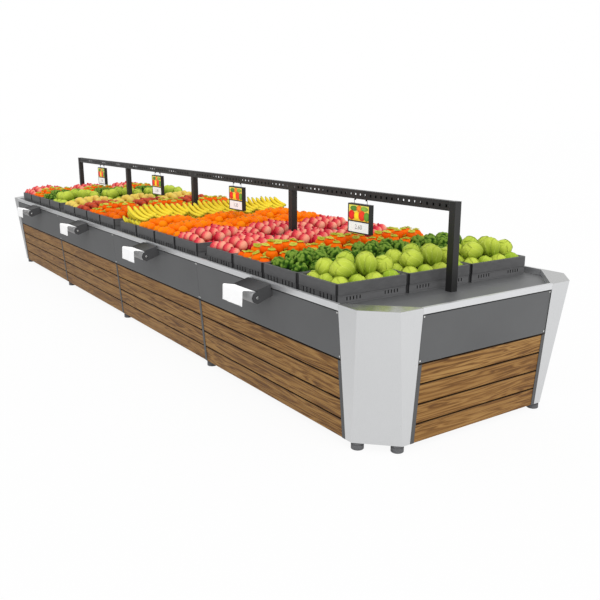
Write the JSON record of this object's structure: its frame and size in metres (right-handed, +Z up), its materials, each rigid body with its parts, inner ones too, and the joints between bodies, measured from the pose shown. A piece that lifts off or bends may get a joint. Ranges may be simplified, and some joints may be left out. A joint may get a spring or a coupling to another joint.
{
  "type": "produce display stand",
  "caption": "Long free-standing island stand for fruit and vegetables: steel tray with crates, leaning panelled sides, wood slats, a price rail on posts, swinging tags and bag rolls.",
  "frame": {"origin": "on the floor, at the middle of the whole footprint with the hanging bags", "axes": "+X along the stand, +Y from the side with the bag rolls to the other side, +Z up"},
  "size_m": [7.658, 1.9498, 1.375],
  "materials": {
    "frame_steel": "satin",
    "foot_rubber": "matte",
    "tray_steel": "satin",
    "panel_grey": "satin",
    "column_steel": "satin",
    "slat_wood": "satin",
    "strip_dark": "satin",
    "screw_bright": "polished",
    "black_steel": "satin",
    "bracket_steel": "satin",
    "tag_black": "matte",
    "card_white": "matte",
    "hood_dark": "satin",
    "axle_bright": "polished",
    "bag_white": "satin",
    "crate_grey": "matte",
    "produce": "satin"
  },
  "bodies": {
    "stand": {"base_frame": "frame_steel", "deck_frame": "frame_steel", "uprights": "frame_steel", "post_sockets": "frame_steel", "levelling_feet": "foot_rubber", "bay_trays": "tray_steel", "end_tray_near": "tray_steel", "end_tray_far": "tray_steel", "front_panels": "panel_grey", "rear_panels": "panel_grey", "end_panel_near": "panel_grey", "end_panel_far": "panel_grey", "corner_column_near_front": "column_steel", "corner_column_near_rear": "column_steel", "corner_column_far_front": "column_steel", "corner_column_far_rear": "column_steel", "front_slats": "slat_wood", "rear_slats": "slat_wood", "end_slats": "slat_wood", "cover_strips": "strip_dark", "panel_screws": "screw_bright", "posts": "black_steel", "price_rails": "black_steel", "rail_joiners": "black_steel", "tag_lugs": "black_steel", "rail_brackets": "bracket_steel", "bag_hoods": "hood_dark", "roll_axles": "axle_bright", "bag_tails": "bag_white", "crates_middle": "crate_grey", "produce_middle": "produce"},
    "front_row_1": {"crates_front_1": "crate_grey", "produce_front_1": "produce"},
    "rear_row_1": {"crates_rear_1": "crate_grey", "produce_rear_1": "produce"},
    "front_row_2": {"crates_front_2": "crate_grey", "produce_front_2": "produce"},
    "rear_row_2": {"crates_rear_2": "crate_grey", "produce_rear_2": "produce"},
    "front_row_3": {"crates_front_3": "crate_grey", "produce_front_3": "produce"},
    "rear_row_3": {"crates_rear_3": "crate_grey", "produce_rear_3": "produce"},
    "front_row_4": {"crates_front_4": "crate_grey", "produce_front_4": "produce"},
    "rear_row_4": {"crates_rear_4": "crate_grey", "produce_rear_4": "produce"},
    "tag_1": {"tag_frame_1": "tag_black", "tag_cards_1": "card_white"},
    "tag_2": {"tag_frame_2": "tag_black", "tag_cards_2": "card_white"},
    "tag_3": {"tag_frame_3": "tag_black", "tag_cards_3": "card_white"},
    "tag_4": {"tag_frame_4": "tag_black", "tag_cards_4": "card_white"},
    "roll_1": {"bag_roll_1": "bag_white"},
    "roll_2": {"bag_roll_2": "bag_white"},
    "roll_3": {"bag_roll_3": "bag_white"},
    "roll_4": {"bag_roll_4": "bag_white"}
  },
  "joints": [
    {"name": "front_row_1_lift", "type": "slide", "parent": "stand", "child": "front_row_1", "axis": [0, 0, 1], "range_m": [0, 0.3]},
    {"name": "rear_row_1_lift", "type": "slide", "parent": "stand", "child": "rear_row_1", "axis": [0, 0, 1], "range_m": [0, 0.3]},
    {"name": "front_row_2_lift", "type": "slide", "parent": "stand", "child": "front_row_2", "axis": [0, 0, 1], "range_m": [0, 0.3]},
    {"name": "rear_row_2_lift", "type": "slide", "parent": "stand", "child": "rear_row_2", "axis": [0, 0, 1], "range_m": [0, 0.3]},
    {"name": "front_row_3_lift", "type": "slide", "parent": "stand", "child": "front_row_3", "axis": [0, 0, 1], "range_m": [0, 0.3]},
    {"name": "rear_row_3_lift", "type": "slide", "parent": "stand", "child": "rear_row_3", "axis": [0, 0, 1], "range_m": [0, 0.3]},
    {"name": "front_row_4_lift", "type": "slide", "parent": "stand", "child": "front_row_4", "axis": [0, 0, 1], "range_m": [0, 0.3]},
    {"name": "rear_row_4_lift", "type": "slide", "parent": "stand", "child": "rear_row_4", "axis": [0, 0, 1], "range_m": [0, 0.3]},
    {"name": "tag_1_swing", "type": "hinge", "parent": "stand", "child": "tag_1", "pos_m": [-2.645, 0.10088, 1.309], "axis": [1, 0, 0], "range_deg": [-45, 45]},
    {"name": "tag_2_swing", "type": "hinge", "parent": "stand", "child": "tag_2", "pos_m": [-0.895, 0.10088, 1.309], "axis": [1, 0, 0], "range_deg": [-45, 45]},
    {"name": "tag_3_swing", "type": "hinge", "parent": "stand", "child": "tag_3", "pos_m": [0.855, 0.10088, 1.309], "axis": [1, 0, 0], "range_deg": [-45, 45]},
    {"name": "tag_4_swing", "type": "hinge", "parent": "stand", "child": "tag_4", "pos_m": [2.605, 0.10088, 1.309], "axis": [1, 0, 0], "range_deg": [-45, 45]},
    {"name": "roll_1_spin", "type": "hinge", "parent": "stand", "child": "roll_1", "pos_m": [-2.573, -0.87288, 0.777], "axis": [1, 0, 0], "continuous": true},
    {"name": "roll_2_spin", "type": "hinge", "parent": "stand", "child": "roll_2", "pos_m": [-0.823, -0.87288, 0.777], "axis": [1, 0, 0], "continuous": true},
    {"name": "roll_3_spin", "type": "hinge", "parent": "stand", "child": "roll_3", "pos_m": [0.927, -0.87288, 0.777], "axis": [1, 0, 0], "continuous": true},
    {"name": "roll_4_spin", "type": "hinge", "parent": "stand", "child": "roll_4", "pos_m": [2.677, -0.87288, 0.777], "axis": [1, 0, 0], "continuous": true}
  ]
}
